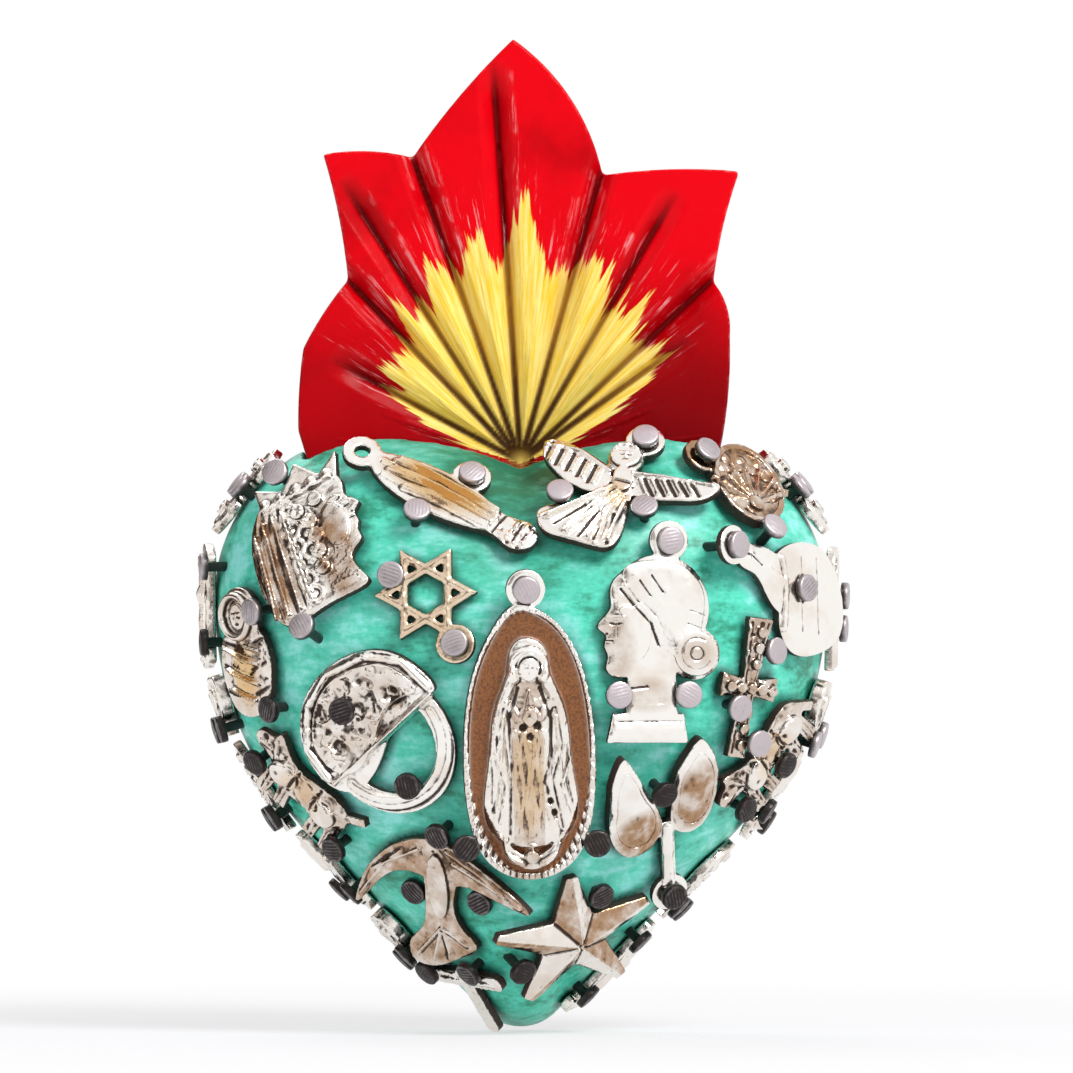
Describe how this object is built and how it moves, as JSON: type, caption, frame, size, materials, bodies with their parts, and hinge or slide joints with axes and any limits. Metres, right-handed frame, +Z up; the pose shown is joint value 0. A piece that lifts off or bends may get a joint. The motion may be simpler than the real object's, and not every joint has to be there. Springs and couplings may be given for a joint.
{
  "type": "sacred heart wall ornament",
  "caption": "Carved wooden sacred heart: domed turquoise heart with a red flame crest, covered with nailed-on cast metal milagro charms, hung from a hole in its flat back.",
  "frame": {"origin": "mouth of the hanging hole in the flat back", "axes": "+Z up the ornament, +X to the right as seen from the front, +Y out of the back toward the wall"},
  "size_m": [0.0803, 0.0336, 0.1213],
  "materials": {
    "turquoise_wood": "brushed satin paint on wood, lightly worn",
    "red_wood": "gloss red paint with a dry-brushed yellow fan",
    "cast_silver": "cast silver-coloured alloy, dark in the recesses",
    "nail_steel": "dull dark steel"
  },
  "bodies": {
    "root": {"angel": "cast_silver", "basket": "cast_silver", "beaded_cross": "cast_silver", "bent_arm": "cast_silver", "cow": "cast_silver", "dog": "cast_silver", "edge_nails": "nail_steel", "eyes_left_shoulder": "cast_silver", "eyes_right_shoulder": "cast_silver", "faceted_star": "cast_silver", "fish_left": "cast_silver", "fish_right": "cast_silver", "flame_crest": "red_wood", "front_nails": "nail_steel", "hand_left": "cast_silver", "hand_right": "cast_silver", "heart_body": "turquoise_wood", "heart_left": "cast_silver", "heart_left_of_tip": "cast_silver", "heart_right": "cast_silver", "key_right": "cast_silver", "lady_medal": "cast_silver", "leg_left": "cast_silver", "leg_right_of_tip": "cast_silver", "open_star": "cast_silver", "profile_head": "cast_silver", "shell_medal": "cast_silver", "sleeved_arm": "cast_silver", "swaddled_infant": "cast_silver", "swallow": "cast_silver", "tip_cross": "cast_silver", "twin_leaf": "cast_silver", "veiled_bust": "cast_silver"}
  },
  "joints": []
}
